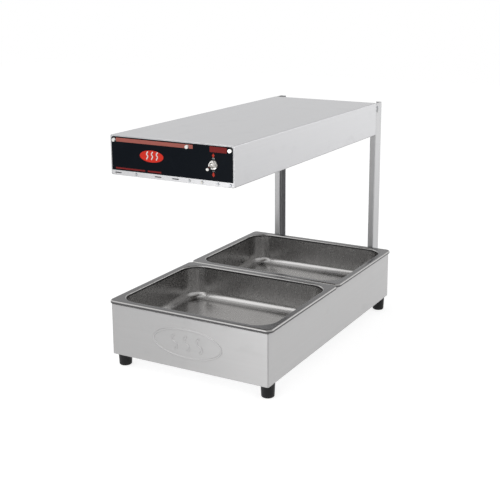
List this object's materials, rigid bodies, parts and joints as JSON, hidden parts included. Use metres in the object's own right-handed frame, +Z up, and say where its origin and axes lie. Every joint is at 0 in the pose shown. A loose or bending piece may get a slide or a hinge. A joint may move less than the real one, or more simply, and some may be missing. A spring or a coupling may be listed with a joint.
{
  "type": "chip warmer",
  "caption": "Countertop food warmer: a low heated base holding lift-out pans under a long infrared hood carried on slim rear posts, with a toggle switch on its front panel.",
  "frame": {"origin": "on the counter under the middle of the overall outline", "axes": "+Z up, +Y from the control panel to the rear posts, +X to the right of someone who faces the control panel"},
  "size_m": [0.325, 0.628, 0.429],
  "materials": {
    "base_steel": "satin stainless sheet",
    "bracket_steel": "plain folded steel",
    "post_steel": "satin stainless channel",
    "hood_steel": "fine satin stainless sheet",
    "pan_steel": "bright drawn stainless",
    "reflector_bright": "polished",
    "panel_black": "black printed face",
    "screw_zinc": "zinc plated",
    "screw_bright": "nickel plated",
    "foot_rubber": "black rubber",
    "moulded_black": "black moulding",
    "heater_silicone": "silicone blanket",
    "blanket_fibre": "mineral fibre",
    "element_sheath": "heat-tinted sheath",
    "ceramic_white": null,
    "wire_bright": "bright plated wire",
    "cable_grey": "grey sheathed cable",
    "lead_white": "white high-temperature lead"
  },
  "bodies": {
    "base": {"base_bottom_panel": "base_steel", "base_heater": "heater_silicone", "base_leads": "lead_white", "base_rear_panel": "base_steel", "base_shell": "base_steel", "base_thermostat": "moulded_black", "bay_cover_front": "hood_steel", "bay_cover_rear": "hood_steel", "cable_grommets": "foot_rubber", "casing_screws": "screw_zinc", "control_overlay": "panel_black", "cord_gland": "moulded_black", "element_ceramics": "ceramic_white", "element_hangers": "wire_bright", "element_leads": "lead_white", "foot_front_left": "foot_rubber", "foot_front_right": "foot_rubber", "foot_nuts": "screw_zinc", "foot_rear_left": "foot_rubber", "foot_rear_right": "foot_rubber", "foot_screws": "screw_zinc", "guard_clip_screws": "screw_zinc", "guard_clips": "wire_bright", "heater_insulation": "blanket_fibre", "heater_tray": "bracket_steel", "heating_element": "element_sheath", "hood_front_panel": "hood_steel", "hood_insulation": "blanket_fibre", "hood_mount_bracket": "bracket_steel", "hood_rear_panel": "hood_steel", "hood_shell": "hood_steel", "hood_terminal_block": "moulded_black", "left_post": "post_steel", "left_post_bracket": "bracket_steel", "lever_pin": "screw_bright", "lip_screws": "screw_zinc", "mount_screws": "screw_zinc", "pan_well": "base_steel", "panel_screws": "screw_bright", "post_bolts": "screw_zinc", "post_cable": "cable_grey", "post_inserts": "screw_zinc", "reflector": "reflector_bright", "reflector_end_front": "reflector_bright", "reflector_end_rear": "reflector_bright", "right_post": "post_steel", "right_post_bracket": "bracket_steel", "switch_body": "moulded_black", "switch_bushing": "screw_bright", "switch_inner_nut": "screw_bright", "switch_lead": "lead_white", "switch_nut": "screw_bright", "switch_washer": "screw_bright", "terminal_block": "moulded_black", "tray_screws": "screw_zinc", "wire_guard": "wire_bright"},
    "front_pan_body": {"front_pan": "pan_steel"},
    "rear_pan_body": {"rear_pan": "pan_steel"},
    "lever": {"toggle_lever": "screw_bright"}
  },
  "joints": [
    {"name": "lever_hinge", "type": "hinge", "parent": "base", "child": "lever", "pos_m": [0.0807, -0.29622, 0.396], "axis": [-1, 0, 0], "range_deg": [0, 30]},
    {"name": "front_pan_lift", "type": "slide", "parent": "base", "child": "front_pan_body", "axis": [0, 0, 1], "range_m": [0, 0.1]},
    {"name": "rear_pan_lift", "type": "slide", "parent": "base", "child": "rear_pan_body", "axis": [0, 0, 1], "range_m": [0, 0.1]}
  ]
}
